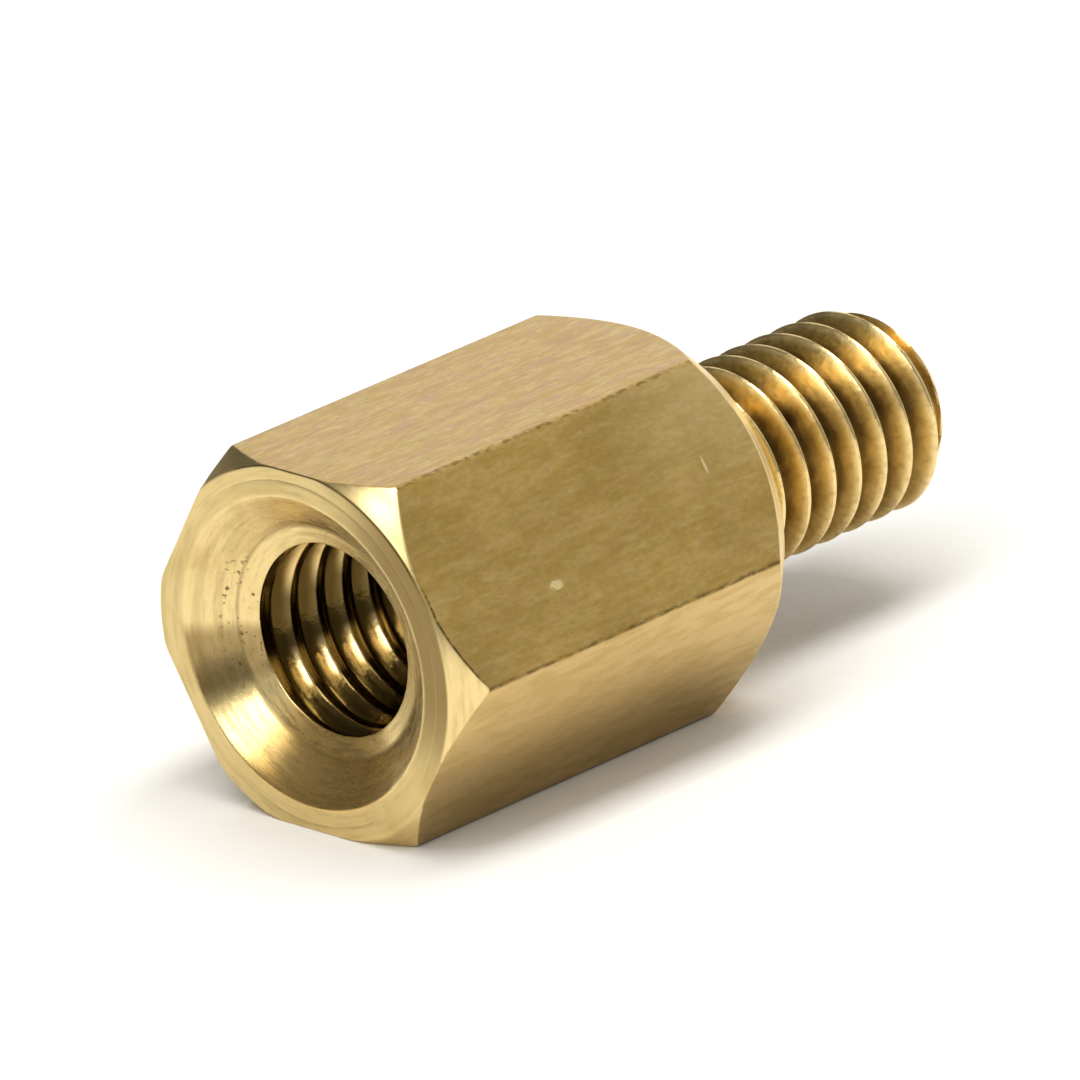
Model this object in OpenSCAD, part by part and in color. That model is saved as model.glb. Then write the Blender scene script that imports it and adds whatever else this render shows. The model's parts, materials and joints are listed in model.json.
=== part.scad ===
// Male-female hex standoff, turned from drawn hex brass bar.
// The bar's axis runs along X, from the tapped end (-X) to the stud (+X).
// The part lies on one hex flat at Z = 0, with the origin under the middle of its length.
// All sizes are in millimetres. The threads are plain: the hole is bored at its
// thread's crests, and the stud is as thick as its thread's crests.

/* [Hex body] */
// Width across the hex flats
across_flats = 7; // [5.5:0.5:12]
// Length of the body, from the tapped end to the shoulder
body_len = 9.5; // [7:0.5:40]
// Radius along the six long edges of the drawn bar
edge_r = 0.15; // [0.05:0.05:0.3]

/* [Turned ends] */
// Width of the flat ring round the countersink, at the middle of a hex flat
face_ring_w = 0.5; // [0.3:0.05:0.7]
// How far the flat end face reaches past the hex flats before its chamfer starts
face_reach = 0.08; // [0:0.02:0.3]
// Angle of the tapped end's chamfer, from the end face
face_chamfer_angle = 45; // [20:5:60]
// Width of the shoulder's chamfer at the middle of a hex flat
shoulder_chamfer_w = 0.3; // [0:0.05:0.5]
// Angle of the shoulder's chamfer, from the shoulder
shoulder_chamfer_angle = 50; // [20:5:60]

/* [Tapped hole] */
// Diameter of the tapped hole at the thread's crests
hole_d = 3.7; // [3.2:0.05:3.9]
// Metal left between the drill's point and the shoulder
hole_floor = 1.4; // [0.8:0.1:2]
// Point angle of the drill
drill_point_angle = 118; // [90:1:140]
// Included angle of the countersink
countersink_angle = 100; // [82:2:120]
// Width of the flatter lead-in cone between the countersink and the hole
lead_in_w = 0.4; // [0.3:0.05:0.6]
// Included angle of the lead-in
lead_in_angle = 130; // [100:5:150]

/* [Stud] */
// Length of the stud, from the shoulder to its end
stud_len = 6.5; // [3:0.5:20]
// Diameter of the stud at the thread's crests
stud_d = 4; // [3.5:0.1:4.5]
// Width and height of the 45 degree chamfer at the stud's end
stud_chamfer = 0.8; // [0.5:0.05:1]

/* [Hidden] */

// Smoothness of the turned surfaces
$fn = 96;
// Overrun of a cut past the face that it starts from
overrun = 0.1;

total_len = body_len + stud_len;
// Radius that clears the hex corners
clear_r = across_flats;
face_r = across_flats / 2 + face_reach;
shoulder_r = across_flats / 2 - shoulder_chamfer_w;
stud_r = stud_d / 2;

// Radii and depths of the hole's steps, from the end face inwards
countersink_r = across_flats / 2 - face_ring_w;
hole_r = hole_d / 2;
lead_in_r = hole_r + lead_in_w;
countersink_depth = (countersink_r - lead_in_r) / tan(countersink_angle / 2);
bore_start = countersink_depth + lead_in_w / tan(lead_in_angle / 2);
drill_point_len = hole_r / tan(drill_point_angle / 2);
bore_end = body_len - hole_floor - drill_point_len;

// Section of the drawn bar, across its axis: a hexagon with rounded corners and its
// flats square to X. Circles make the corners, and a polygon through the points where
// they meet the flats fills the rest.
module bar_section() {
    // Distance from the axis to a corner circle's centre
    corner_at = (across_flats / 2 - edge_r) / cos(30);
    for (i = [0:5])
        rotate(60 * i + 30)
            translate([corner_at, 0])
                circle(r = edge_r);
    polygon([
        for (i = [0:5], side = [-30, 30])
            corner_at * [cos(60 * i + 30), sin(60 * i + 30)]
                + edge_r * [cos(60 * i + 30 + side), sin(60 * i + 30 + side)]
    ]);
}

// Solid of revolution that turns both ends of the bar: face, chamfers and shoulder
module turned_envelope() {
    face_chamfer = (clear_r - face_r) * tan(face_chamfer_angle);
    shoulder_chamfer = (clear_r - shoulder_r) * tan(shoulder_chamfer_angle);
    rotate_extrude()
        polygon([
            [0, 0],
            [face_r, 0],
            [clear_r, face_chamfer],
            [clear_r, body_len - shoulder_chamfer],
            [shoulder_r, body_len],
            [0, body_len]
        ]);
}

// Hex body with both ends turned
module hex_body() {
    intersection() {
        linear_extrude(body_len)
            bar_section();
        turned_envelope();
    }
}

// Drilled hole with its countersink, lead-in and drill point
module drilled_hole() {
    rotate_extrude()
        polygon([
            [0, -overrun],
            [countersink_r + overrun * tan(countersink_angle / 2), -overrun],
            [lead_in_r, countersink_depth],
            [hole_r, bore_start],
            [hole_r, bore_end],
            [0, bore_end + drill_point_len]
        ]);
}

// Stud with its end chamfer, standing on the shoulder
module stud() {
    rotate_extrude()
        polygon([
            [0, body_len - overrun],
            [stud_r, body_len - overrun],
            [stud_r, total_len - stud_chamfer],
            [stud_r - stud_chamfer, total_len],
            [0, total_len]
        ]);
}

module standoff() {
    color("#c2a05a")
        translate([-total_len / 2, 0, across_flats / 2])
            rotate([0, 90, 0]) {
                difference() {
                    hex_body();
                    drilled_hole();
                }
                stud();
            }
}

standoff();
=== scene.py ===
"""Male-female hex standoff in brass: its surface, its finishes and the studio round it.

The axis runs along +X from the tapped end to the stud, and angles round it run from +Y towards
+Z. The settings are in metres. The surface and the finishes are worked out in millimetres, along
the axis from the tapped face and across it from the turned axis.
"""

import json
import math
from types import SimpleNamespace

import bpy
import numpy as np
from bpy.props import (
    FloatProperty,
    FloatVectorProperty,
    IntProperty,
    PointerProperty,
    StringProperty,
)
from mathutils import Matrix, Quaternion, Vector


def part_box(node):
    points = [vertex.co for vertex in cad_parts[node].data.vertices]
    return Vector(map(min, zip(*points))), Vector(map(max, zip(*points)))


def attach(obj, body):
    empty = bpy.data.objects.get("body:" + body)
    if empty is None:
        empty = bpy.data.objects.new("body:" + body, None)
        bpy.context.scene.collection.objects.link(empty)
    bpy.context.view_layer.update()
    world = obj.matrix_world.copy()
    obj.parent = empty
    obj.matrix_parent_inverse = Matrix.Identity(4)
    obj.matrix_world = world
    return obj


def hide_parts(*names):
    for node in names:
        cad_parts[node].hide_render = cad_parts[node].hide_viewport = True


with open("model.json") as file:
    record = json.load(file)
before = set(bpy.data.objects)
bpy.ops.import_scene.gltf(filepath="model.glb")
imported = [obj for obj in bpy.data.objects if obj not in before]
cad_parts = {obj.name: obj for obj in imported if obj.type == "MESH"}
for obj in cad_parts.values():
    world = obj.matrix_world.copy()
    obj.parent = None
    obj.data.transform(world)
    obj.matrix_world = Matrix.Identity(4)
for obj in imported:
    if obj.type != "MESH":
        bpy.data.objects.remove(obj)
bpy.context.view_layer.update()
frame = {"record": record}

bl_info = {
    "name": "Brass Hex Standoff",
    "version": (1, 0, 0),
    "blender": (4, 5, 0),
    "location": "View3D > Sidebar > Standoff",
    "description": "Builds a male-female hex standoff with cut threads in a small studio",
    "category": "Add Mesh",
}

MM = 0.001
NODE = "standoff"
MOUNTS = {mount["name"]: mount for mount in frame["record"]["mounts"]}
LOW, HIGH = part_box(NODE)
FACE_X = LOW.x
SHOULDER_X = MOUNTS["shoulder"]["pos_m"][0]


def whole_micrometres(metres):
    """A length without the stray digits of the numbers that it comes from."""
    return round(metres, 6)


def bore_depth(end):
    """Depth below the tapped face of the tapped bore's start, for end -1, or its end, for 1."""
    mount = MOUNTS["tapped_hole"]
    half_length = mount["dims"]["length_mm"] * MM / 2
    return whole_micrometres(mount["pos_m"][0] - FACE_X + end * half_length)


# ---------------------------------------------------------------- properties


class StandoffBody(bpy.types.PropertyGroup):
    """Sizes of the hex body and its two turned ends, and the painted shade along its creases, rim
    and long edges.
    """

    across_flats: FloatProperty(
        name="Across Flats",
        description="Width across the hex flats",
        default=whole_micrometres(HIGH.z - LOW.z),
        unit="LENGTH",
    )
    length: FloatProperty(
        name="Body Length",
        description="Length from the tapped end to the shoulder",
        default=whole_micrometres(SHOULDER_X - FACE_X),
        unit="LENGTH",
    )
    edge_radius: FloatProperty(
        name="Edge Radius",
        description="Radius along the six long edges of the drawn bar",
        default=0.15 * MM,
        unit="LENGTH",
    )
    face_radius: FloatProperty(
        name="Face Radius",
        description="Radius of the tapped end's flat face, where its chamfer starts",
        default=3.58 * MM,
        unit="LENGTH",
    )
    face_angle: FloatProperty(
        name="Face Chamfer",
        description="Angle of the tapped end's chamfer, from the face",
        default=math.radians(45),
        subtype="ANGLE",
    )
    shoulder_radius: FloatProperty(
        name="Shoulder Radius",
        description="Radius of the shoulder, where its chamfer starts",
        default=3.2 * MM,
        unit="LENGTH",
    )
    shoulder_angle: FloatProperty(
        name="Shoulder Chamfer",
        description="Angle of the shoulder's chamfer, from the shoulder",
        default=math.radians(50),
        subtype="ANGLE",
    )
    run_out: FloatVectorProperty(
        name="Run-out",
        description="How far the turned axis lies from the middle of the bar, along Y and Z",
        size=2,
        default=(0.118 * MM, -0.033 * MM),
        unit="LENGTH",
    )
    edge_break: FloatProperty(
        name="Edge Break",
        description="Size of the small radius left on every turned edge",
        default=0.035 * MM,
        unit="LENGTH",
    )
    groove_radius: FloatProperty(
        name="Face Groove Radius",
        description="Radius of the shallow groove that the tool left in the end face",
        default=3.32 * MM,
        unit="LENGTH",
    )
    groove_width: FloatProperty(
        name="Face Groove Width",
        description="Width of the groove in the end face",
        default=0.06 * MM,
        unit="LENGTH",
    )
    groove_depth: FloatProperty(
        name="Face Groove Depth",
        description="Depth of the groove in the end face",
        default=0.008 * MM,
        unit="LENGTH",
    )
    # Painted shade: a dark line along the six long edges that hides the highlight of their
    # rounding
    edge_film: FloatProperty(
        name="Painted Edge Shade",
        description="How dark the film along the six long edges is, from 0 to 1",
        default=0.65,
        subtype="FACTOR",
    )
    # Painted shade: a dark line along the end face's rim, between these angles
    rim_film: FloatVectorProperty(
        name="Painted Rim Shade",
        description="Angles between which a dark line follows the end face's rim",
        size=2,
        default=(math.radians(60), math.radians(150)),
        unit="ROTATION",
    )
    # Painted shade: a dark line along the crease of the face's chamfer, between these angles
    crease_film: FloatVectorProperty(
        name="Painted Crease Shade",
        description="Angles between which a dark line follows the crease of the face's chamfer",
        size=2,
        default=(math.radians(146), math.radians(180)),
        unit="ROTATION",
    )


class StandoffHole(bpy.types.PropertyGroup):
    """Sizes of the countersunk, tapped hole."""

    crest_radius: FloatProperty(
        name="Crest Radius",
        description="Radius of the hole at the thread's crests",
        default=MOUNTS["tapped_hole"]["dims"]["r_mm"] * MM,
        unit="LENGTH",
    )
    bore_start: FloatProperty(
        name="Bore Start",
        description="Depth at which the lead-in cone meets the bore",
        default=bore_depth(-1),
        unit="LENGTH",
    )
    bore_end: FloatProperty(
        name="Bore End",
        description="Depth at which the drill's point starts",
        default=bore_depth(1),
        unit="LENGTH",
    )
    point_angle: FloatProperty(
        name="Point Angle",
        description="Included angle of the drill's point",
        default=math.radians(118),
        subtype="ANGLE",
    )
    lead_in_radius: FloatProperty(
        name="Lead-in Radius",
        description="Radius at which the countersink turns into the flatter lead-in cone",
        default=2.25 * MM,
        unit="LENGTH",
    )
    lead_in_angle: FloatProperty(
        name="Lead-in Angle",
        description="Included angle of the lead-in cone",
        default=math.radians(130),
        subtype="ANGLE",
    )
    countersink_angle: FloatProperty(
        name="Countersink Angle",
        description="Included angle of the countersink",
        default=math.radians(100),
        subtype="ANGLE",
    )
    thread_depth: FloatProperty(
        name="Thread Depth",
        description="Depth of the thread's groove below its crests",
        default=0.3 * MM,
        unit="LENGTH",
    )
    thread_mouth: FloatProperty(
        name="Groove Mouth",
        description="Width of the thread's groove at its crests",
        default=0.52 * MM,
        unit="LENGTH",
    )
    flank_angle: FloatProperty(
        name="Flank Angle",
        description="Angle of the thread's flanks from a plane across the axis",
        default=math.radians(36),
        subtype="ANGLE",
    )
    crest_round: FloatProperty(
        name="Crest Rounding",
        description="Half the width of the rounding at the thread's crest edges",
        default=0.03 * MM,
        unit="LENGTH",
    )
    thread_phase: FloatProperty(
        name="Thread Phase",
        description="Distance from the face to a groove's middle, on the +Y side",
        default=0.665 * MM,
        unit="LENGTH",
    )
    thread_start: FloatProperty(
        name="Thread Start",
        description="Length past the lead-in over which the thread reaches its full depth",
        default=0.22 * MM,
        unit="LENGTH",
    )
    plain_length: FloatProperty(
        name="Plain Length",
        description="Length of plain bore left below the thread",
        default=0.75 * MM,
        unit="LENGTH",
    )
    # Painted shade: a dark line at the step between the countersink and the lead-in
    step_film: FloatProperty(
        name="Painted Step Shade",
        description="How dark the line between the countersink and the lead-in is, from 0 to 1",
        default=0.4,
        subtype="FACTOR",
    )


class StandoffStud(bpy.types.PropertyGroup):
    """Sizes of the threaded stud."""

    crest_radius: FloatProperty(
        name="Crest Radius",
        description="Radius of the stud at the thread's crests",
        default=MOUNTS["stud"]["dims"]["r_mm"] * MM,
        unit="LENGTH",
    )
    length: FloatProperty(
        name="Stud Length",
        description="Length from the shoulder to the stud's end",
        default=whole_micrometres(HIGH.x - SHOULDER_X),
        unit="LENGTH",
    )
    thread_depth: FloatProperty(
        name="Thread Depth",
        description="Depth of the thread's groove below its crests",
        default=0.43 * MM,
        unit="LENGTH",
    )
    thread_mouth: FloatProperty(
        name="Groove Mouth",
        description="Width of the thread's groove at its crests",
        default=0.65 * MM,
        unit="LENGTH",
    )
    flank_angle: FloatProperty(
        name="Flank Angle",
        description="Angle of the thread's flanks from a plane across the axis",
        default=math.radians(30),
        subtype="ANGLE",
    )
    crest_round: FloatProperty(
        name="Crest Rounding",
        description="Half the width of the rounding at the thread's crest edges",
        default=0.028 * MM,
        unit="LENGTH",
    )
    thread_phase: FloatProperty(
        name="Thread Phase",
        description="Distance from the tapped face to a groove's middle, on the +Y side",
        default=0.328 * MM,
        unit="LENGTH",
    )
    plain_length: FloatProperty(
        name="Plain Length",
        description="Length from the shoulder over which the thread runs out",
        default=0.75 * MM,
        unit="LENGTH",
    )
    fillet: FloatProperty(
        name="Shoulder Fillet",
        description="Radius left by the tool where the stud meets the shoulder",
        default=0.1 * MM,
        unit="LENGTH",
    )
    end_chamfer: FloatProperty(
        name="End Chamfer",
        description="Width and height of the 45 degree chamfer at the stud's end",
        default=0.8 * MM,
        unit="LENGTH",
    )
    nick_along: FloatProperty(
        name="Nick Place",
        description="Distance from the tapped face to the nick knocked into the crests",
        default=11.77 * MM,
        unit="LENGTH",
    )
    nick_angle: FloatProperty(
        name="Nick Angle",
        description="Where the nick is round the stud, from +Y towards +Z",
        default=math.radians(141),
        subtype="ANGLE",
    )
    nick_size: FloatProperty(
        name="Nick Size",
        description="Distance from the nick's middle to where it has faded out",
        default=0.2 * MM,
        unit="LENGTH",
    )
    nick_depth: FloatProperty(
        name="Nick Depth",
        description="Depth of the nick",
        default=0.09 * MM,
        unit="LENGTH",
    )


class StandoffMesh(bpy.types.PropertyGroup):
    """What both threads share, and how finely the surface is divided."""

    pitch: FloatProperty(
        name="Pitch",
        description="Distance between neighbouring thread crests",
        default=0.7 * MM,
        unit="LENGTH",
    )
    flat_steps: IntProperty(
        name="Flat Steps",
        description="Faces across each hex flat",
        default=42,
    )
    corner_steps: IntProperty(
        name="Edge Steps",
        description="Faces round each of the six long edges",
        default=6,
    )


class StandoffFinish(bpy.types.PropertyGroup):
    """Colours of the brass in its three finishes, as sRGB hex values. Some also paint shade,
    sheen and reflections.
    """

    drawn: StringProperty(
        name="Drawn Brass",
        description="Colour of the drawn hex flats",
        default="#d9bb7b",
    )
    # Also painted shade: thickened on the upper side flats
    drawn_olive: StringProperty(
        name="Drawn Brass, Olive",
        description="Colour of the duller, olive patches on the flats",
        default="#ad9042",
    )
    drawn_pink: StringProperty(
        name="Drawn Brass, Coppery",
        description="Colour of the coppery streaks on the flats",
        default="#cca57e",
    )
    # Also a painted sheen on the upper side flats towards the shoulder
    drawn_light: StringProperty(
        name="Drawn Brass, Scuffed",
        description="Colour of light scuffs and nicks in the flats",
        default="#e3cf9a",
    )
    turned: StringProperty(
        name="Turned Brass",
        description="Colour of the freshly turned faces, chamfers and countersink",
        default="#f0d698",
    )
    # Painted warm reflection: the golden tone low in the countersink stands in for the warm light
    # that the brass mirrors there
    turned_gold: StringProperty(
        name="Turned Brass, Golden",
        description="Colour of the cleaner metal low in the countersink",
        default="#fdc764",
    )
    # Also painted shade on the end face's upper -Y side
    turned_dull: StringProperty(
        name="Turned Brass, Dull",
        description="Colour in the troughs of the turning marks and on the dull end face",
        default="#b8a26c",
    )
    threaded: StringProperty(
        name="Thread Brass",
        description="Colour of the cut threads",
        default="#f4d898",
    )
    thread_olive: StringProperty(
        name="Thread Brass, Olive",
        description="Colour of the thin film on the threads' flanks",
        default="#c9a24a",
    )
    # Real tarnish in blotches and partly in the thread roots; also painted shade on the end face
    # and in the hole, and a painted dark reflection in the countersink
    tarnish: StringProperty(
        name="Tarnish and Shade",
        description="Colour of the brown film in the thread roots and the countersink's stain",
        default="#62410e",
    )
    # Real dirt in the pits and partly in the thread roots; painted shade on the dark lines, the
    # flats' underside, the roots and the hole
    grime: StringProperty(
        name="Grime and Shade",
        description="Colour of the dark lines along the creases and in the pits",
        default="#54431f",
    )


class StandoffStudio(bpy.types.PropertyGroup):
    """Camera, lights and floor."""

    azimuth: FloatProperty(
        name="Azimuth",
        description="Where the camera stands round the part; 0 looks along +Y",
        default=math.radians(-45.767),
        subtype="ANGLE",
    )
    elevation: FloatProperty(
        name="Elevation",
        description="Height of the camera above the horizon",
        default=math.radians(20.886),
        subtype="ANGLE",
    )
    roll: FloatProperty(
        name="Roll",
        description="Turn of the camera about its own line of sight",
        default=math.radians(-3.501),
        subtype="ANGLE",
    )
    distance: FloatProperty(
        name="Distance",
        description="Distance from the camera to its target",
        default=0.42,
        unit="LENGTH",
    )
    target: FloatVectorProperty(
        name="Target",
        description="Point that the camera looks at",
        size=3,
        default=(-1.9985 * MM, -0.2252 * MM, 3.8422 * MM),
        subtype="XYZ",
        unit="LENGTH",
    )
    lens: FloatProperty(
        name="Lens",
        description="Focal length of the camera, on a 36 mm sensor",
        default=763.13,
        unit="CAMERA",
    )
    overhead_power: FloatProperty(
        name="Overhead Power",
        description="Power of the large softbox overhead",
        default=8.0,
        unit="POWER",
    )
    left_power: FloatProperty(
        name="Left Power",
        description="Power of the small softbox on the tapped end's side",
        default=1.75,
        unit="POWER",
    )
    front_power: FloatProperty(
        name="Front Power",
        description="Power of the weak softbox on the -Y side",
        default=0.55,
        unit="POWER",
    )
    back_power: FloatProperty(
        name="Back Power",
        description="Power of the large, weak softbox on the +Y side",
        default=1.25,
        unit="POWER",
    )
    paper: StringProperty(
        name="Paper",
        description="Colour of the paper that the part lies on, as an sRGB hex value",
        default="#f6f5f2",
    )
    paper_cloud: StringProperty(
        name="Paper Clouding",
        description="Colour of the paper's faint clouds, as an sRGB hex value",
        default="#f0efeb",
    )
    wall_light: FloatVectorProperty(
        name="Wall Light",
        description="Light that comes from the bright wall beyond the stud, as linear colour",
        default=(1.02, 1.01, 0.99),
        subtype="COLOR",
    )
    room_light: FloatVectorProperty(
        name="Room Light",
        description="Light that comes from the rest of the room, as linear colour",
        default=(0.31, 0.306, 0.29),
        subtype="COLOR",
    )
    dark_light: FloatVectorProperty(
        name="Dark Side Light",
        description="Light that comes from the dark side of the room, at +Y, as linear colour",
        default=(0.1, 0.098, 0.094),
        subtype="COLOR",
    )


# The name that each group of settings has on the scene
GROUPS = {
    "standoff_body": StandoffBody,
    "standoff_hole": StandoffHole,
    "standoff_stud": StandoffStud,
    "standoff_mesh": StandoffMesh,
    "standoff_finish": StandoffFinish,
    "standoff_studio": StandoffStudio,
}

# ------------------------------------------------------------------- surface

# The material slot of each finish
TURNED, DRAWN, THREADED = range(3)
# Points nearer to each other than this are one point, in millimetres
TOUCHING = 1e-5
# Difference of radius that doesn't count, in millimetres
HAIR = 1e-6
# Edges that turn more sharply than this are shaded as edges
SHARP = math.radians(40)


def in_mm(group):
    """A group's settings, with its lengths in millimetres."""
    settings = SimpleNamespace()
    for name in type(group).__annotations__:
        value = getattr(group, name)
        if group.bl_rna.properties[name].unit == "LENGTH":
            value = np.array(value) / MM
        setattr(settings, name, value)
    return settings


def smooth_ramp(t, width):
    """Zero below -width and t above +width, with a parabola between them that meets both."""
    blend = (t + width) ** 2 / (4 * width)
    return np.where(t <= -width, 0.0, np.where(t >= width, t, blend))


def rounded_max(a, b, width):
    """The larger of a and b, with the corner where they cross rounded over twice the width."""
    return a + smooth_ramp(b - a, width)


def rounded_min(a, b, width):
    """The smaller of a and b, with the corner where they cross rounded over twice the width."""
    return -rounded_max(-a, -b, width)


def window(angle, start, end, soft):
    """One between two angles and zero outside them, with straight slopes of the given width."""
    return np.clip((angle - start) / soft, 0, 1) * np.clip((end - angle) / soft, 0, 1)


def section(angle, x, r, finish, film=0.0):
    """A stretch of rows: depth, radius, finish and painted shade at every row and every angle."""
    x, r = (value[:, None] if np.ndim(value) == 1 else value for value in (x, r))
    return np.broadcast_arrays(x + 0 * angle, r + 0 * angle, finish, film)


def bar_outline(body, mesh):
    """Angles and radii of the drawn bar's outline, and how near each point is to a long edge.

    The outline is a hexagon whose corners are arcs. It is walked side by side: along a side,
    the point is the side's middle plus s along it, with s from one tangent point to the next,
    and round a corner it is the arc's centre plus the edge radius at an angle that turns by 60
    degrees. It is seen from the turned axis, which lies off the middle by the run-out. The
    nearness is the sine of half a turn's share of the corner, and 0 on the flats. The last
    point is the first one again, a full turn on.
    """
    inner = body.across_flats / 2 - body.edge_radius
    side = np.radians(30 + 60 * np.arange(6))[:, None]
    normal = np.stack([np.cos(side), np.sin(side)], -1)
    along = np.stack([-np.sin(side), np.cos(side)], -1)
    half = inner * math.tan(math.radians(30))
    s = np.linspace(-half, half, mesh.flat_steps + 1)[None, :, None]
    flats = normal * body.across_flats / 2 + along * s
    turn = side + np.radians(np.linspace(0, 60, mesh.corner_steps + 1)[1:-1])[None, :]
    corners = normal * inner + along * half
    corners = corners + body.edge_radius * np.stack([np.cos(turn), np.sin(turn)], -1)
    points = np.concatenate([flats, corners], 1).reshape(-1, 2) - body.run_out
    points = np.concatenate([points, points[:1]])
    angle = np.unwrap(np.arctan2(points[:, 1], points[:, 0]))
    on_edge = np.zeros((6, mesh.flat_steps + mesh.corner_steps))
    turned = np.arange(mesh.corner_steps) / mesh.corner_steps
    on_edge[:, mesh.flat_steps :] = np.sin(math.pi * turned)
    return angle, np.hypot(points[:, 0], points[:, 1]), np.append(on_edge, 0)


def groove_share(distance, half_root, half_mouth, rounding):
    """How deep a thread groove is at a distance from its middle: 1 at the root, 0 at the crest.

    The share is flat to half_root, falls in a straight line to half_mouth, and is flat again;
    both corners are rounded.
    """
    slope = 1 / (half_mouth - half_root)
    return (
        1
        - slope * smooth_ramp(distance - half_root, rounding)
        + slope * smooth_ramp(distance - half_mouth, rounding)
    )


def thread_rows(part, mesh, angle, start, end, fade, cone, sign, crease, dent=lambda x: 0.0):
    """Rows of a threaded wall from start to end, which a cone cuts: depth, radius and finish.

    The rows follow the helix, x = phase + turns * pitch + angle / 360 degrees * pitch + offset,
    with offsets at the edges of the root and the mouth and their roundings, so that crest and
    root lie on the grid. Rows that leave the wall are held at its ends. The thread's radius is
    the crest's plus sign times the groove's depth, with sign +1 in a hole and -1 on a stud. The
    depth is the groove's share of the thread's depth, which fade(x) takes to zero where the
    thread runs out, and dent(x) more where the metal is knocked in. The cone's radius is its
    first value less its second times x. The wall is the one that cuts deeper, with a rounded
    crease between them, for which rows are added at the given depths.
    """
    mouth = part.thread_mouth / 2
    root = mouth - part.thread_depth * math.tan(part.flank_angle)
    rounding = part.crest_round
    root_edge = [root - rounding, root + rounding]
    mouth_edge = [mouth - rounding, mouth, mouth + rounding]
    one_side = np.array([*root_edge, (root + mouth) / 2, *mouth_edge])
    offsets = np.concatenate([-one_side[::-1], one_side, [mesh.pitch / 2]])
    climb = mesh.pitch * angle / (2 * math.pi)
    climb = climb - mesh.pitch * np.floor(climb.min() / mesh.pitch)
    first = math.floor((start - part.thread_phase) / mesh.pitch) - 2
    last = math.ceil((end - part.thread_phase) / mesh.pitch) + 2
    turns = part.thread_phase + mesh.pitch * np.arange(first, last)
    x = (turns[:, None] + offsets[None, :]).reshape(-1, 1) + climb - mesh.pitch
    x = np.concatenate([x, crease[:, None] + 0 * angle])
    x = np.sort(np.clip(x, start, end), 0)

    turn = (x - part.thread_phase - climb) / mesh.pitch
    distance = np.abs(turn - np.round(turn)) * mesh.pitch
    share = groove_share(distance, root, mouth, rounding)
    threaded = sign * part.crest_radius + part.thread_depth * share * fade(x) + dent(x)
    turned = sign * (cone[0] - cone[1] * x)
    r = sign * rounded_max(threaded, turned, rounding)
    return x, r, np.where(threaded < turned - HAIR, TURNED, THREADED)


def countersink(hole):
    """Depth at which the countersink meets the lead-in cone, and the radius of its mouth."""
    lead_length = (hole.lead_in_radius - hole.crest_radius) / math.tan(hole.lead_in_angle / 2)
    depth = hole.bore_start - lead_length
    return depth, hole.lead_in_radius + depth * math.tan(hole.countersink_angle / 2)


def hole_surface(body, hole, mesh, angle):
    """Rows of the hole from the drill point out to the countersink, and its mouth's radius.

    Every wall but the thread is a cone, whose radius changes by its slope times the depth. The
    mouth's edge is a parabola between the countersink and the face.
    """
    slope_lead = math.tan(hole.lead_in_angle / 2)
    slope_sink = math.tan(hole.countersink_angle / 2)
    lead_start, mouth_radius = countersink(hole)
    r = hole.crest_radius * np.array([0.14, 0.32, 0.54, 0.76, 0.92, 1.0])
    x = hole.bore_end + (hole.crest_radius - r) / math.tan(hole.point_angle / 2)
    surface = [section(angle, x, r, TURNED)]
    thread_end = hole.bore_end - hole.plain_length
    x = np.linspace(hole.bore_end, thread_end, 4)[1:-1]
    surface.append(section(angle, x, hole.crest_radius, TURNED))

    def fade(x):
        begun = (x - hole.bore_start) / hole.thread_start
        return np.clip(np.minimum(begun, (thread_end - x) / mesh.pitch), 0, 1)

    reach = hole.thread_depth + hole.crest_round
    zone_start = hole.bore_start - reach / slope_lead
    cone = hole.crest_radius + hole.bore_start * slope_lead, slope_lead
    crease = hole.bore_start + hole.crest_round / slope_lead * np.linspace(-1, 1, 5)
    x, r, finish = thread_rows(hole, mesh, angle, zone_start, thread_end, fade, cone, 1, crease)
    surface.append(section(angle, x[::-1], r[::-1], finish[::-1]))

    # A line of painted shade at the step between the countersink and the lead-in
    x = np.array([lead_start + hole.crest_round, lead_start])
    film = np.array([0.0, hole.step_film])[:, None]
    surface.append(section(angle, x, cone[0] - cone[1] * x, TURNED, film))
    e = body.edge_break
    x = np.linspace(lead_start, e / slope_sink, 8)[1:]
    x = np.append(lead_start - hole.crest_round, x)
    surface.append(section(angle, x, hole.lead_in_radius + (lead_start - x) * slope_sink, TURNED))
    t = np.array([0.25, 0.5, 0.75, 1.0])
    x = e / slope_sink * (1 - t) ** 2
    surface.append(section(angle, x, mouth_radius - e * (1 - t) ** 2 + e * t**2, TURNED))
    return surface, mouth_radius + e


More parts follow.
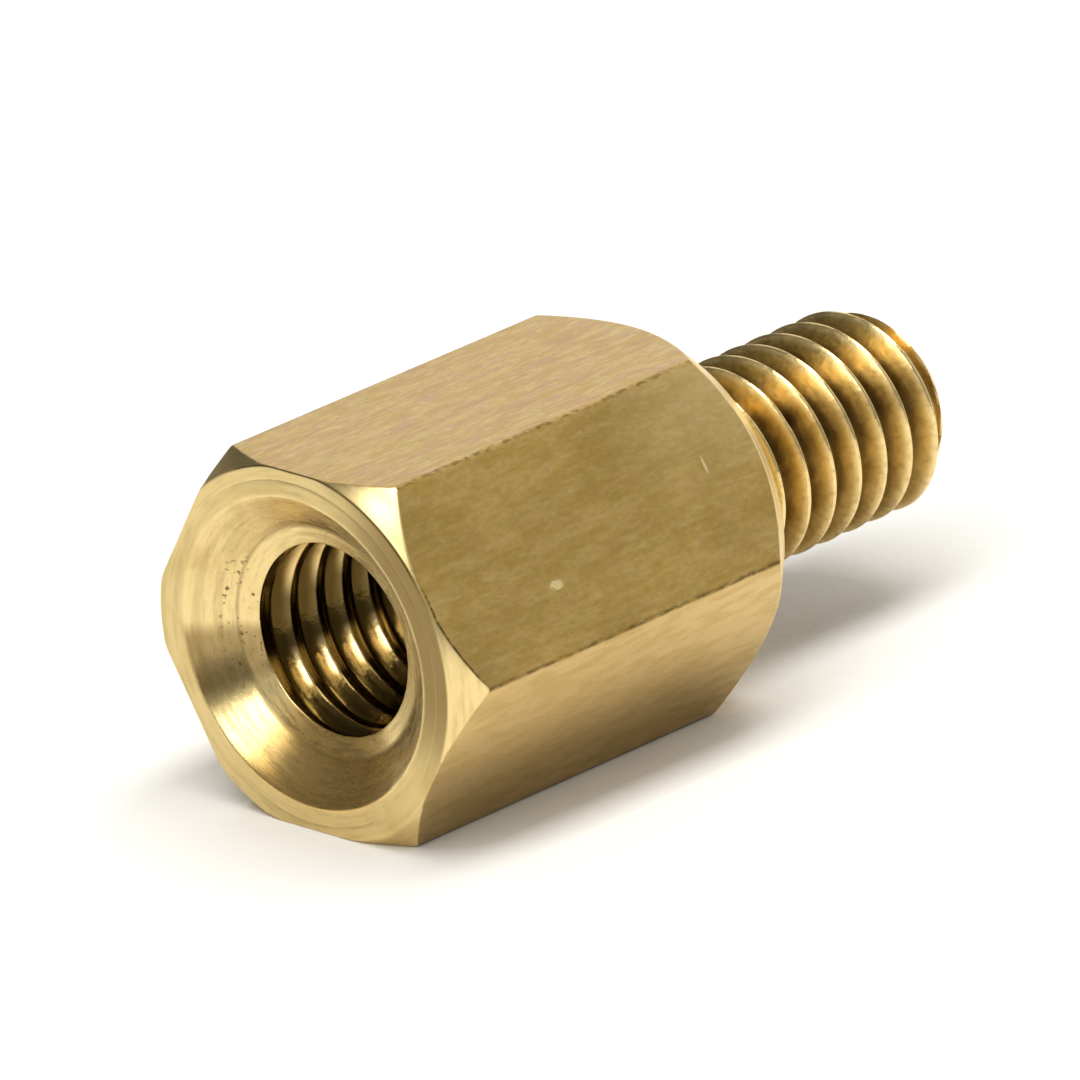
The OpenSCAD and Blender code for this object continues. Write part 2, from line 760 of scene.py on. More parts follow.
def body_surface(body, angle, outline, on_edge, inner):
    """Rows of the end face, both chamfers, the flats and the shoulder's edge.

    The wall's radius is the smallest of the bar's outline, the cone of the face's chamfer and the
    cone of the shoulder's chamfer, with rounded creases. Rows lie close together along both
    creases, whose distance from the end faces grows with the outline's radius. Each end's outer
    edge is a parabola between the face and the wall. A shallow groove, a parabola across, runs
    round the face.
    """
    e = body.edge_break
    face_slope = math.tan(body.face_angle)
    back_slope = math.tan(body.shoulder_angle)

    def wall(x):
        front = body.face_radius + x / face_slope
        back = body.shoulder_radius + (body.length - x) / back_slope
        return rounded_min(rounded_min(outline[None, :], front, e), back, e)

    def between(a, b, shares):
        return a + (b - a) * np.array(shares)[:, None]

    zero = np.zeros((1, len(outline)))
    start, end = zero + e, zero + body.length - e
    over_crease = [0, 0.25, 0.5, 0.75, 1]
    width = e * face_slope
    crease = (outline[None, :] - body.face_radius) * face_slope
    crease_on_grid = np.maximum(crease, start + 1.3 * width)
    front = between(crease_on_grid - width, crease_on_grid + width, over_crease)
    lead = between(start, front[:1], [0, 0.35, 0.7])
    width = e * back_slope
    back_crease = body.length - (outline[None, :] - body.shoulder_radius) * back_slope
    back = between(back_crease - width, back_crease + width, over_crease)
    middle = between(front[-1:], back[:1], np.linspace(0, 1, 11)[1:-1])
    tail = between(back[-1:], end, [0.35, 0.7, 1])
    x = np.concatenate([lead, front, middle, back, tail])
    drawn = (x > crease) & (x < back_crease)
    skin = wall(x)
    # Painted shade: a dark line along the crease of the face's chamfer, between its angles
    painted_crease_shade = np.zeros((len(x), 1))
    painted_crease_shade[len(lead) + 1 : len(lead) + 4, 0] = 0.6, 1, 0.6
    film = painted_crease_shade * window(angle, *body.crease_film, math.radians(5))
    # Painted shade along the long edges hides the highlight of their rounding
    film = np.maximum(film, body.edge_film * on_edge * drawn)

    edge = wall(zero)
    profile = np.array([-1, -0.5, 0, 0.5, 1])[:, None]
    face = np.minimum(body.groove_radius + profile * body.groove_width / 2, edge - e)
    sunk = body.groove_depth * np.maximum(1 - profile**2, 0) * (face < edge - e - HAIR)
    face = np.concatenate([between(zero + inner, face[:1], [0.35, 0.7]), face, edge - e])
    sunk = np.concatenate([zero, zero, sunk, zero])
    t = np.array([0.25, 0.5, 0.75])[:, None]
    arc = (1 - t) ** 2 * (edge - e) + 2 * t * (1 - t) * edge + t**2 * skin[:1]
    # Painted shade along the end face's rim, between its angles
    rim = np.array([0.5, 1, 0.5])[:, None] * window(angle, *body.rim_film, math.radians(8))
    far_edge = wall(zero + body.length)
    far = t**2 * (far_edge - e) + 2 * t * (1 - t) * far_edge + (1 - t) ** 2 * skin[-1:]
    return [
        section(angle, sunk, face, TURNED),
        section(angle, e * t**2, arc, TURNED, rim),
        section(angle, x, skin, np.where(drawn, DRAWN, TURNED), film),
        section(angle, body.length - e * (1 - t) ** 2, far, TURNED),
        section(angle, body.length, far_edge - e, TURNED),
    ]


def stud_surface(body, stud, mesh, angle, outer):
    """Rows of the shoulder, the stud's thread, its end chamfer and its end face.

    The shoulder meets the stud in a quarter circle. The nick is a bell-shaped dent, the nick's
    depth times e to the minus squared distance from its middle. The end's edge is a parabola.
    """
    end = body.length + stud.length
    fillet_radius = stud.crest_radius + stud.fillet
    shoulder = outer + (fillet_radius - outer) * np.linspace(0, 1, 5)[1:, None]
    surface = [section(angle, body.length, shoulder, TURNED)]
    turn = np.linspace(0, math.pi / 2, 5)[1:]
    x = body.length + stud.fillet * (1 - np.cos(turn))
    surface.append(section(angle, x, fillet_radius - stud.fillet * np.sin(turn), TURNED))

    start = body.length + stud.fillet
    chamfer_radius = stud.crest_radius - stud.end_chamfer
    reach = stud.end_chamfer - stud.thread_depth - stud.crest_round
    zone_end = end - reach

    def fade(x):
        return np.clip((x - start) / stud.plain_length, 0, 1)

    def dent(x):
        along = (x - stud.nick_along) / stud.nick_size
        around = (angle - stud.nick_angle) * stud.crest_radius / stud.nick_size
        return stud.nick_depth * np.exp(-(along**2) - around**2)

    cone = chamfer_radius + end, 1.0
    crease = np.linspace(end - stud.end_chamfer - stud.crest_round, zone_end, 20)
    # The thread's first row keeps clear of the fillet's last one
    first = start + 0.01
    x, r, finish = thread_rows(stud, mesh, angle, first, zone_end, fade, cone, -1, crease, dent)
    surface.append(section(angle, x, r, finish))
    e = body.edge_break
    x = np.linspace(zone_end, end - e, 4)[1:]
    surface.append(section(angle, x, chamfer_radius + end - x, TURNED))
    t = np.array([0.25, 0.5, 0.75, 1.0])
    x = end - e * (1 - t) ** 2
    surface.append(section(angle, x, chamfer_radius + e * (1 - t) ** 2 - e * t**2, TURNED))
    r = (chamfer_radius - e) * np.array([0.8, 0.6, 0.4, 0.2])
    surface.append(section(angle, end, r, TURNED))
    return surface


def closed_skin(surface, angle, tip_x, end_x):
    """Vertices, triangles, finishes and painted shade of the closed skin that the rows make.

    Row i and column j give the point (x, r cos, r sin). The last column is the first one again,
    and its points are those of the first that lie nearest to it in their section, since a
    thread's lines have climbed by one pitch on the way round. A cell is split along its shorter
    diagonal, points that coincide along a column become one, and a fan closes each pole.
    """
    x, r, tag, film = (np.concatenate(stretch) for stretch in zip(*surface))
    rows, columns = x.shape
    same = np.zeros(x.shape, bool)
    same[1:] = np.hypot(x[1:] - x[:-1], r[1:] - r[:-1]) < TOUCHING
    own = np.where(same, 0, np.arange(rows)[:, None])
    own = np.maximum.accumulate(own, 0)
    index = own * columns + np.arange(columns)[None, :]
    start = 0
    for stretch in surface:
        part = slice(start, start + len(stretch[0]))
        away = np.hypot(
            x[part, -1:] - x[part, 0][None, :],
            r[part, -1:] - r[part, 0][None, :],
        )
        index[part, -1] = index[part, 0][away.argmin(1)]
        start = part.stop
    points = np.stack([x, r * np.cos(angle), r * np.sin(angle)], -1).reshape(-1, 3)

    a, b, c, d = index[:-1, :-1], index[1:, :-1], index[1:, 1:], index[:-1, 1:]
    split_ac = np.linalg.norm(points[a] - points[c], axis=-1) <= np.linalg.norm(
        points[b] - points[d], axis=-1
    )
    one = np.where(split_ac[..., None], np.stack([a, c, b], -1), np.stack([a, d, b], -1))
    two = np.where(split_ac[..., None], np.stack([a, d, c], -1), np.stack([b, d, c], -1))
    finish = tag[1:, :-1]
    pole = rows * columns
    first = np.stack([np.full(columns - 1, pole), index[0, 1:], index[0, :-1]], -1)
    last = np.stack([np.full(columns - 1, pole + 1), index[-1, :-1], index[-1, 1:]], -1)
    triangles = np.concatenate([one.reshape(-1, 3), two.reshape(-1, 3), first, last])
    ends = np.full(2 * (columns - 1), TURNED)
    finish = np.concatenate([finish.ravel(), finish.ravel(), ends])
    points = np.concatenate([points, [[tip_x, 0, 0], [end_x, 0, 0]]])
    whole = (
        (triangles[:, 0] != triangles[:, 1])
        & (triangles[:, 1] != triangles[:, 2])
        & (triangles[:, 0] != triangles[:, 2])
    )
    triangles, finish = triangles[whole], finish[whole]
    used, triangles = np.unique(triangles, return_inverse=True)
    return points[used], triangles.reshape(-1, 3), finish, np.append(film, [0, 0])[used]


def standoff_mesh(body, hole, stud, settings):
    """The whole standoff as one closed mesh, in metres and in the frame's place.

    Each point carries how deep it lies in a thread's groove, from 0 at the crest to 1 at the
    root, and how dark its painted shade is.
    """
    angle, outline, on_edge = bar_outline(body, settings)
    surface, mouth = hole_surface(body, hole, settings, angle)
    surface += body_surface(body, angle, outline, on_edge, mouth)
    surface += stud_surface(body, stud, settings, angle, surface[-1][1])
    tip = hole.bore_end + hole.crest_radius / math.tan(hole.point_angle / 2)
    end = body.length + stud.length
    points, triangles, finish, film = closed_skin(surface, angle, tip, end)
    radius = np.hypot(points[:, 1], points[:, 2])
    depth = np.where(
        points[:, 0] > body.length,
        (stud.crest_radius - radius) / stud.thread_depth,
        (radius - hole.crest_radius) / hole.thread_depth,
    )
    points[:, 1] += body.run_out[0]
    points[:, 2] += body.run_out[1] + body.across_flats / 2
    points[:, 0] += FACE_X / MM
    mesh = bpy.data.meshes.new("standoff_brass")
    mesh.from_pydata((points * MM).tolist(), [], triangles.tolist())
    mesh.polygons.foreach_set("material_index", finish.astype(np.int32))
    mesh.polygons.foreach_set("use_smooth", np.ones(len(triangles), bool))
    mesh.set_sharp_from_angle(angle=SHARP)
    for name, values in (("groove_depth", depth), ("dark_film", film)):
        attribute = mesh.attributes.new(name, "FLOAT", "POINT")
        attribute.data.foreach_set("value", np.clip(values, 0, 1).astype(np.float32))
    mesh.update()
    return mesh


# ----------------------------------------------------------------- materials

SMOOTH = {"interpolation_type": "SMOOTHSTEP"}
TIMES = {"operation": "MULTIPLY"}
PLUS = {"operation": "ADD"}
MINUS = {"operation": "SUBTRACT"}
OVER = {"operation": "DIVIDE"}
LENGTH = {"operation": "LENGTH"}
UNIT = {"operation": "NORMALIZE"}
DOT = {"operation": "DOT_PRODUCT"}
MIX = {"data_type": "RGBA"}
# The first numbers of a Map Range node: where its ramp starts and ends, and its value there
BOUNDS = ("From Min", "From Max", "To Min", "To Max")
# The colour inputs and the colour output of a Mix node
MIX_A, MIX_B, MIX_OUT = 6, 7, 2


def linear(hex_value, alpha=1.0):
    """Linear RGBA of an sRGB hex colour such as "#c2a05a"."""
    srgb = [int(hex_value[i : i + 2], 16) / 255 for i in (1, 3, 5)]
    rgb = [c / 12.92 if c <= 0.04045 else ((c + 0.055) / 1.055) ** 2.4 for c in srgb]
    return (*rgb, alpha)


def add_node(tree, kind, settings=None, inputs=None, links=None):
    """Adds a node with its settings, its sockets' values and the links that feed it.

    A link comes from a socket, or from a node, which stands for its first output.
    """
    node = tree.nodes.new(kind)
    for name, value in (settings or {}).items():
        setattr(node, name, value)
    for name, value in (inputs or {}).items():
        node.inputs[name].default_value = value
    for name, source in (links or {}).items():
        tree.links.new(getattr(source, "outputs", [source])[0], node.inputs[name])
    return node


def new_material(name):
    """A material and its node tree, which is empty."""
    material = bpy.data.materials.new(name)
    material.use_nodes = True
    material.node_tree.nodes.clear()
    return material, material.node_tree


def turned_coordinates(tree, body):
    """Object coordinates in millimetres, measured from the tapped face and the turned axis.

    They are the point, its distance along the axis, its height, its radius, its direction from
    the axis, and that direction's Y and Z.
    """
    place = add_node(tree, "ShaderNodeTexCoord")
    axis = (-FACE_X / MM, -body.run_out[0], -body.across_flats / 2 - body.run_out[1])
    point = add_node(
        tree,
        "ShaderNodeMapping",
        inputs={"Location": axis, "Scale": (1 / MM, 1 / MM, 1 / MM)},
        links={"Vector": place.outputs["Object"]},
    )
    parts = add_node(tree, "ShaderNodeSeparateXYZ", links={0: point}).outputs
    across = add_node(tree, "ShaderNodeCombineXYZ", links={"Y": parts["Y"], "Z": parts["Z"]})
    radius = add_node(tree, "ShaderNodeVectorMath", LENGTH, links={0: across})
    outward = add_node(tree, "ShaderNodeVectorMath", UNIT, links={0: across})
    side = add_node(tree, "ShaderNodeSeparateXYZ", links={0: outward}).outputs
    return {
        "point": point.outputs[0],
        "along": parts["X"],
        "up": parts["Z"],
        "radius": radius.outputs["Value"],
        "side": outward.outputs[0],
        "side_y": side["Y"],
        "side_z": side["Z"],
    }


def toward(tree, at, degrees):
    """Cosine of the angle between a point's direction from the axis and the given one."""
    turn = math.radians(degrees)
    way = (0.0, math.cos(turn), math.sin(turn))
    node = add_node(tree, "ShaderNodeVectorMath", DOT, {1: way}, {0: at["side"]})
    return node.outputs["Value"]


def turning_rings(tree, at, width, changes, detail=2.0):
    """Noise drawn out into rings of the given width round the turned axis.

    It is four-dimensional noise of the place along the axis and the radius, both over the
    width, and of the direction from the axis times the number of changes for each radian of
    turn, so that a ring varies on its way round and meets itself.
    """
    scales = {"along": 1 / width, "radius": 1 / width, "side_y": changes, "side_z": changes}
    x, y, z, w = (
        add_node(tree, "ShaderNodeMath", TIMES, {1: scale}, {0: at[name]})
        for name, scale in scales.items()
    )
    vector = add_node(tree, "ShaderNodeCombineXYZ", links={"X": x, "Y": y, "Z": z})
    return add_node(
        tree,
        "ShaderNodeTexNoise",
        {"noise_dimensions": "4D"},
        {"Scale": 1.0, "Detail": detail},
        {"Vector": vector, "W": w},
    )


def grain(tree, at, length, width, detail=2.0):
    """Noise whose features have the given length along the axis and width across it."""
    per_mm = (1 / length, 1 / width, 1 / width)
    scaled = add_node(tree, "ShaderNodeVectorMath", TIMES, {1: per_mm}, {0: at["point"]})
    return add_node(
        tree,
        "ShaderNodeTexNoise",
        inputs={"Scale": 1.0, "Detail": detail},
        links={"Vector": scaled},
    )


def mark(tree, at, centre, half_size):
    """A soft-edged mark: 1 in its middle and 0 outside an ellipsoid of the given half sizes."""
    offset = add_node(tree, "ShaderNodeVectorMath", MINUS, {1: centre}, {0: at["point"]})
    share = add_node(tree, "ShaderNodeVectorMath", OVER, {1: half_size}, {0: offset})
    reach = add_node(tree, "ShaderNodeVectorMath", LENGTH, links={0: share})
    return add_node(
        tree,
        "ShaderNodeMapRange",
        SMOOTH,
        {"From Min": 1.0, "From Max": 0.3},
        {"Value": reach.outputs["Value"]},
    )


def cover(tree, *ramps):
    """How much of the surface a film covers: the product of smooth ramps.

    Each ramp is a source, the two values of it between which the ramp runs, and the ramp's own
    values at those two.
    """
    amount = None
    for source, *bounds in ramps:
        settings = dict(zip(BOUNDS, bounds))
        ramp = add_node(tree, "ShaderNodeMapRange", SMOOTH, settings, {"Value": source})
        if amount:
            ramp = add_node(tree, "ShaderNodeMath", TIMES, links={0: ramp, 1: amount})
        amount = ramp
    return amount


def brass_output(tree, at, base, films, roughness, relief, anisotropic=0.0):
    """Ends a brass material.

    Films of colour lie over the base colour one after another, each by its own amount. The
    roughness is the sum of its shares. The relief's layers raise the normal in turn, each by its
    height in metres. The shader is metallic at the default IOR, and where it is anisotropic it
    spreads its highlights across marks that run round the turned axis.
    """
    colour, normal = None, None
    for amount, film in films:
        node = add_node(
            tree,
            "ShaderNodeMix",
            MIX,
            {MIX_A: linear(base), MIX_B: linear(film)},
            {0: amount},
        )
        if colour:
            tree.links.new(colour, node.inputs[MIX_A])
        colour = node.outputs[MIX_OUT]
    total = roughness[0]
    for share in roughness[1:]:
        total = add_node(tree, "ShaderNodeMath", PLUS, links={0: total, 1: share})
    for height, distance in relief:
        node = add_node(
            tree,
            "ShaderNodeBump",
            inputs={"Strength": 1.0, "Distance": distance},
            links={"Height": height},
        )
        if normal:
            tree.links.new(normal, node.inputs["Normal"])
        normal = node.outputs["Normal"]
    shader = add_node(
        tree,
        "ShaderNodeBsdfPrincipled",
        inputs={"Metallic": 1.0, "Anisotropic": anisotropic, "Anisotropic Rotation": 0.25},
        links={"Base Color": colour, "Roughness": total, "Normal": normal},
    )
    # The tangent runs round the axis, and the rotation of a quarter turn lays the spread across
    back = add_node(tree, "ShaderNodeMath", TIMES, {1: -1.0}, {0: at["side_z"]})
    around = add_node(tree, "ShaderNodeCombineXYZ", links={"Y": back, "Z": at["side_y"]})
    tree.links.new(around.outputs[0], shader.inputs["Tangent"])
    add_node(tree, "ShaderNodeOutputMaterial", links={"Surface": shader})


def turned_brass(body, hole, finish):
    """Free-cutting brass turned on a lathe.

    The tool leaves fine rings that draw each highlight out into a bright band across them, so
    the cones show light and dark sectors instead of the lamps' shapes. The cut metal is pale
    gold, with a thin dull film where it has been handled. Painted shade darkens the end face's
    upper -Y side and lines its creases, a painted dark reflection browns the countersink's +Y
    side, and a painted warm reflection gilds its bottom.
    """
    material, tree = new_material("Brass, turned")
    at = turned_coordinates(tree, body)
    # The feed leaves a ring every 0.03 to 0.05 mm. That is too fine to show, so the rings are
    # drawn about twice as wide. Chatter comes every 0.3 mm, and pits are 0.1 mm across.
    fine = turning_rings(tree, at, 0.0833, 5.0)
    broad = turning_rings(tree, at, 0.286, 0.8)
    pits = grain(tree, at, 0.111, 0.111, 3.0)
    cloud = grain(tree, at, 0.833, 0.833, 3.0)
    film = add_node(tree, "ShaderNodeAttribute", {"attribute_name": "dark_film"}).outputs["Fac"]
    # Directions of the end face's painted shade and of the countersink's painted dark reflection
    to_painted_shade = toward(tree, at, 160)
    to_dark_reflection = toward(tree, at, -17)
    mouth = countersink(hole)[1]
    step = hole.lead_in_radius
    face = (at["along"], 0.03, 0.0, 0, 1)
    outside = (at["radius"], mouth - 0.02, mouth + 0.08, 0, 1)
    inside = (at["radius"], mouth + 0.08, mouth - 0.02, 0, 1)
    tapped = (at["along"], 4.0, 3.0, 0, 1)
    pitted = (at["side_y"], 0.75, 0.95, 0, 1)
    deep = (at["radius"], step + 0.35, step + 0.15, 0, 1)
    films = (
        # The troughs of the rings and of the chatter, and thin clouds of film
        (cover(tree, (fine, 0.45, 0.75, 0, 0.35)), finish.turned_dull),
        (cover(tree, (broad, 0.5, 0.68, 0, 0.4)), finish.turned_dull),
        (cover(tree, (cloud, 0.45, 0.75, 0, 0.3)), finish.drawn_olive),
        # The end face is duller than the countersink, and darker on its upper -Y side as painted
        # shade
        (cover(tree, (to_painted_shade, 0.45, 0.95, 0.35, 1.0), face, outside), finish.turned_dull),
        (cover(tree, (to_painted_shade, 0.6, 0.95, 0.0, 0.5), face, outside), finish.tarnish),
        # A painted warm reflection low in the countersink, beside a painted dark reflection on
        # its +Y side
        (cover(tree, (at["side_z"], -0.65, -0.95, 0, 0.5), inside, tapped), finish.turned_gold),
        # Painted dark reflection, brown, on the countersink's +Y side
        (cover(tree, (to_dark_reflection, 0.955, 0.99, 0, 0.6), inside, tapped), finish.tarnish),
        # Pits deep in the countersink's +Y side, and the painted shade along the creases and the
        # rim
        (cover(tree, (pits, 0.61, 0.66, 0, 0.8), pitted, deep, tapped), finish.grime),
        (film, finish.grime),
    )
    # The end face is a little rougher than the countersink
    roughness = (
        cover(tree, (at["radius"], mouth - 0.04, mouth + 0.06, 0.24, 0.3)),
        cover(tree, (fine, 0.35, 0.7, 0.0, 0.08)),
        cover(tree, (film, 0, 1, 0, 0.3)),
    )
    relief = ((fine, 1.6e-6), (broad, 6e-6), (pits, 1e-6))
    brass_output(tree, at, finish.turned, films, roughness, relief, 0.7)
    return material


def drawn_brass(body, finish):
    """Brass bar drawn cold through a hexagonal die.

    The die leaves streaks along the bar and a matt skin that reflects only soft light and dark.
    The flats have gathered a thin uneven film, olive on the sides and coppery on the top.
    Painted shade darkens them towards the underside and along the long edges and thickens the
    olive on the upper sides, and a painted sheen lightens those towards the shoulder.
    """
    material, tree = new_material("Brass, drawn")
    at = turned_coordinates(tree, body)
    # Die lines are 0.01 to 0.05 mm apart. They are drawn 0.1 mm apart, the finest that shows,
    # and about 1 mm long. The film lies in blotches 0.25 mm wide and in drifts of 2 to 3 mm.
    streaks = grain(tree, at, 0.909, 0.1, 4.0)
    scuffs = grain(tree, at, 0.385, 0.0909, 4.0)
    grit = grain(tree, at, 0.167, 0.0833, 3.0)
    blotches = grain(tree, at, 0.833, 0.25, 6.0)
    drift = grain(tree, at, 3.33, 2.0)
    film = add_node(tree, "ShaderNodeAttribute", {"attribute_name": "dark_film"}).outputs["Fac"]
    flat = body.across_flats / 2 - body.run_out[1]
    above = (at["up"], -0.1, 0.1, 0, 1)
    high = (at["up"], 1, 3, 0, 1)
    # From just below the top flat to the flat itself, with ends of its own for each film
    top = (at["up"], flat - 0.043, flat - 0.008)
    off_top = (*top, 1, 0)
    # Where a painted sheen lightens the upper side flats, towards the shoulder
    sheen_near_shoulder = (at["along"], body.length - 4.5, body.length - 0.5, 0, 0.3)
    # A nick and a short scratch across the flat that faces -Y and up
    nick = mark(tree, at, (3.1, -3.526, 1.132), (0.26, 0.1, 0.13))
    nick = cover(tree, (nick, 0, 0.8, 0, 1), (grit, 0.36, 0.56, 0.25, 1))
    scratch = mark(tree, at, (7.63, -3.069, 1.923), (0.045, 0.19, 0.27))
    films = (
        # Olive film all over, and painted shade that darkens the flats towards the underside
        (cover(tree, (blotches, 0.42, 0.62, 0, 0.3)), finish.drawn_olive),
        (cover(tree, (at["up"], -0.8, -3.2, 0, 0.45)), finish.grime),
        # The two upper side flats: olive film, thickened as painted shade, uneven, and lighter
        # towards the shoulder with a painted sheen
        (cover(tree, (blotches, 0.35, 0.65, 0.52, 0.72), above, off_top), finish.drawn_olive),
        (cover(tree, (drift, 0.4, 0.65, 0, 0.16), above, off_top), finish.tarnish),
        (cover(tree, (grit, 0.4, 0.65, 0, 0.16), above, off_top), finish.tarnish),
        (cover(tree, sheen_near_shoulder, high, off_top), finish.drawn_light),
        # Coppery streaks, dull grit and light scuffs, all strongest on the top
        (cover(tree, (streaks, 0.42, 0.66, 0, 1), (*top, 0.15, 0.85)), finish.drawn_pink),
        (cover(tree, (grit, 0.45, 0.7, 0, 1), (*top, 0.12, 0.4)), finish.turned_dull),
        (cover(tree, (scuffs, 0.54, 0.7, 0, 1), (*top, 0.12, 0.5)), finish.drawn_light),
        # Painted shade along the long edges, broken up by grit, and the two marks
        (cover(tree, (grit, 0.38, 0.62, 0.4, 1), (film, 0, 1, 0, 1)), finish.grime),
        (nick, finish.drawn_light),
        (scratch, finish.drawn_light),
    )
    roughness = (
        cover(tree, (blotches, 0.3, 0.7, 0.38, 0.46)),
        cover(tree, (film, 0, 1, 0, 0.45)),
    )
    relief = ((streaks, 3e-6), (scuffs, 3e-6), (blotches, 8e-6), (drift, 2e-5), (nick, -1e-5))
    brass_output(tree, at, finish.drawn, films, roughness, relief)
    return material


def cut_thread_brass(body, stud, finish):
    """Brass cut by a die and a tap.

    The cutting edges leave smooth flanks that mirror the room in narrow bands. Cutting oil and
    handling leave them olive gold, and pale where the crests rub clean. Their roots are brown,
    part tarnish and part painted shade, and painted shade darkens the hole's lower half, all
    but a strip where its highlights fall.
    """
    material, tree = new_material("Brass, cut thread")
    at = turned_coordinates(tree, body)
    # The die's marks are about 0.02 mm wide, and are drawn at 0.08 mm, the finest that shows.
    # The chatter on the flanks is 0.15 mm long, a fifth of the pitch.
    fine = turning_rings(tree, at, 0.0769, 6.0)
    chatter = grain(tree, at, 0.143, 0.143, 2.0)
    cloud = grain(tree, at, 0.4545, 0.4545, 4.0)
    groove = add_node(tree, "ShaderNodeAttribute", {"attribute_name": "groove_depth"})
    depth = groove.outputs["Fac"]
    shoulder = body.length
    chamfer = body.length + stud.length - stud.end_chamfer
    in_hole = (at["along"], shoulder, shoulder - 0.1, 0, 1)
    # From just before the shoulder to the shoulder, with ends of its own for each film
    on_stud = (at["along"], shoulder - 0.1, shoulder)
    clean_end = (at["along"], chamfer - 0.6, chamfer, 1, 0.3)
    half_cloudy = (cloud, 0.35, 0.65, 1, 0.55)
    # Where the hole's painted shade lies: its lower half, all but a strip left for the highlights
    lower = (at["side_z"], 0.42, 0.05, 0, 1)
    lower_soft = (at["side_z"], 0.9, 0.2, 0.4, 1)
    off_highlight_strip = (toward(tree, at, -35), 0.972, 0.998, 0.92, 0.0)
    films = (
        # Olive film on every flank
        (cover(tree, (depth, 0.08, 0.35, 0, 1), (*on_stud, 0.3, 0.75)), finish.thread_olive),
        # Brown towards the roots, part tarnish and part painted shade, and in blotches, less at
        # the stud's end
        (cover(tree, (depth, 0.1, 0.85, 0, 0.9), half_cloudy, clean_end), finish.tarnish),
        (cover(tree, (depth, 0.5, 1, 0, 0.8), clean_end), finish.grime),
        (cover(tree, (chatter, 0.45, 0.7, 0, 0.22), (*on_stud, 0, 1)), finish.tarnish),
        # Painted shade in the hole, thickest in its lower half, all but a strip kept clean for
        # the highlights
        (cover(tree, (depth, 0.1, 0.6, 0, 0.85), lower_soft, in_hole), finish.tarnish),
        (cover(tree, (depth, 0.35, 0.8, 0, 0.8), in_hole), finish.grime),
        (cover(tree, lower, off_highlight_strip, in_hole), finish.grime),
    )
    roughness = (
        cover(tree, (*on_stud, 0.13, 0.15)),
        cover(tree, (depth, 0.0, 0.12, 0, 1), (*on_stud, 0.0, 0.14)),
        cover(tree, (fine, 0.3, 0.7, 0.0, 0.12)),
    )
    relief = ((fine, 1.2e-6), (chatter, 5e-6), (cloud, 4e-6))
    brass_output(tree, at, finish.threaded, films, roughness, relief, 0.3)
    return material


def matt_paper(studio):
    """Uncoated white paper.

    It is matt and almost even, so that only soft shadows show on it. Its clouding is 6 mm
    across, and its fibres are drawn 0.4 mm wide, ten times their real width, so that they show.
    """
    material, tree = new_material("White paper, matt")
    place = add_node(tree, "ShaderNodeTexCoord").outputs["Object"]
    clouding = add_node(
        tree,
        "ShaderNodeTexNoise",
        inputs={"Scale": 1 / (6.25 * MM), "Detail": 4.0},
        links={"Vector": place},
    )
    fibre = add_node(
        tree,
        "ShaderNodeTexNoise",
        inputs={"Scale": 1 / (0.4 * MM), "Detail": 3.0},
        links={"Vector": place},
    )
    paper = add_node(
        tree,
        "ShaderNodeMix",
        MIX,
        {MIX_A: linear(studio.paper), MIX_B: linear(studio.paper_cloud)},
        {0: clouding},
    )
    bump = add_node(tree, "ShaderNodeBump", inputs={"Distance": 2e-5}, links={"Height": fibre})
    shader = add_node(
        tree,
        "ShaderNodeBsdfPrincipled",
        inputs={"Roughness": 0.9},
        links={"Base Color": paper.outputs[MIX_OUT], "Normal": bump},
    )
    add_node(tree, "ShaderNodeOutputMaterial", links={"Surface": shader})
    return material


# -------------------------------------------------------------------- studio


def add_floor(scene, studio):
    """A square sheet of paper under the part, wide enough to fill every view."""
    half = 1.5
    corners = [(-half, -half, 0), (half, -half, 0), (half, half, 0), (-half, half, 0)]
    mesh = bpy.data.meshes.new("floor")
    mesh.from_pydata(corners, [], [(0, 1, 2, 3)])
    mesh.materials.append(matt_paper(studio))
    floor = bpy.data.objects.new("floor", mesh)
    scene.collection.objects.link(floor)


def add_softbox(scene, name, location, size, power):
    """A rectangular area light that faces the part, with its first side as near X as it can be.

    Its radiance is power / (pi * area).
    """
    light = bpy.data.lights.new(name, "AREA")
    light.shape = "RECTANGLE"
    light.size, light.size_y = size
    light.energy = power
    lamp = bpy.data.objects.new(name, light)
    away = Vector(location).normalized()
    across = away.cross(Vector((1, 0, 0))).normalized()
    axes = Matrix((across.cross(away), across, away)).transposed()
    lamp.rotation_mode = "QUATERNION"
    lamp.rotation_quaternion = axes.to_quaternion()
    lamp.location = location
    scene.collection.objects.link(lamp)


def add_room(scene, studio):
    """The room that the metal mirrors: a bright wall beyond the stud and a dark side at +Y."""
    world = bpy.data.worlds.new("studio")
    world.use_nodes = True
    tree = world.node_tree
    direction = add_node(tree, "ShaderNodeTexCoord").outputs["Generated"]
    shares = []
    for way, start, end in (
        ((-0.3, 0.95, -0.4), -0.5, 0.9),
        ((0.98, 0.12, 0.0), 0.25, 0.85),
    ):
        to_side = add_node(tree, "ShaderNodeVectorMath", DOT, {1: way}, {0: direction})
        source = to_side.outputs["Value"]
        shares.append(cover(tree, (source, start, end, 0, 1)))
    dark_share, wall_share = shares
    room = add_node(
        tree,
        "ShaderNodeMix",
        MIX,
        {MIX_A: (*studio.room_light, 1), MIX_B: (*studio.dark_light, 1)},
        {0: dark_share},
    )
    colour = add_node(
        tree,
        "ShaderNodeMix",
        MIX,
        {MIX_B: (*studio.wall_light, 1)},
        {0: wall_share, MIX_A: room.outputs[MIX_OUT]},
    )
    tree.links.new(colour.outputs[MIX_OUT], tree.nodes["Background"].inputs["Color"])
    scene.world = world


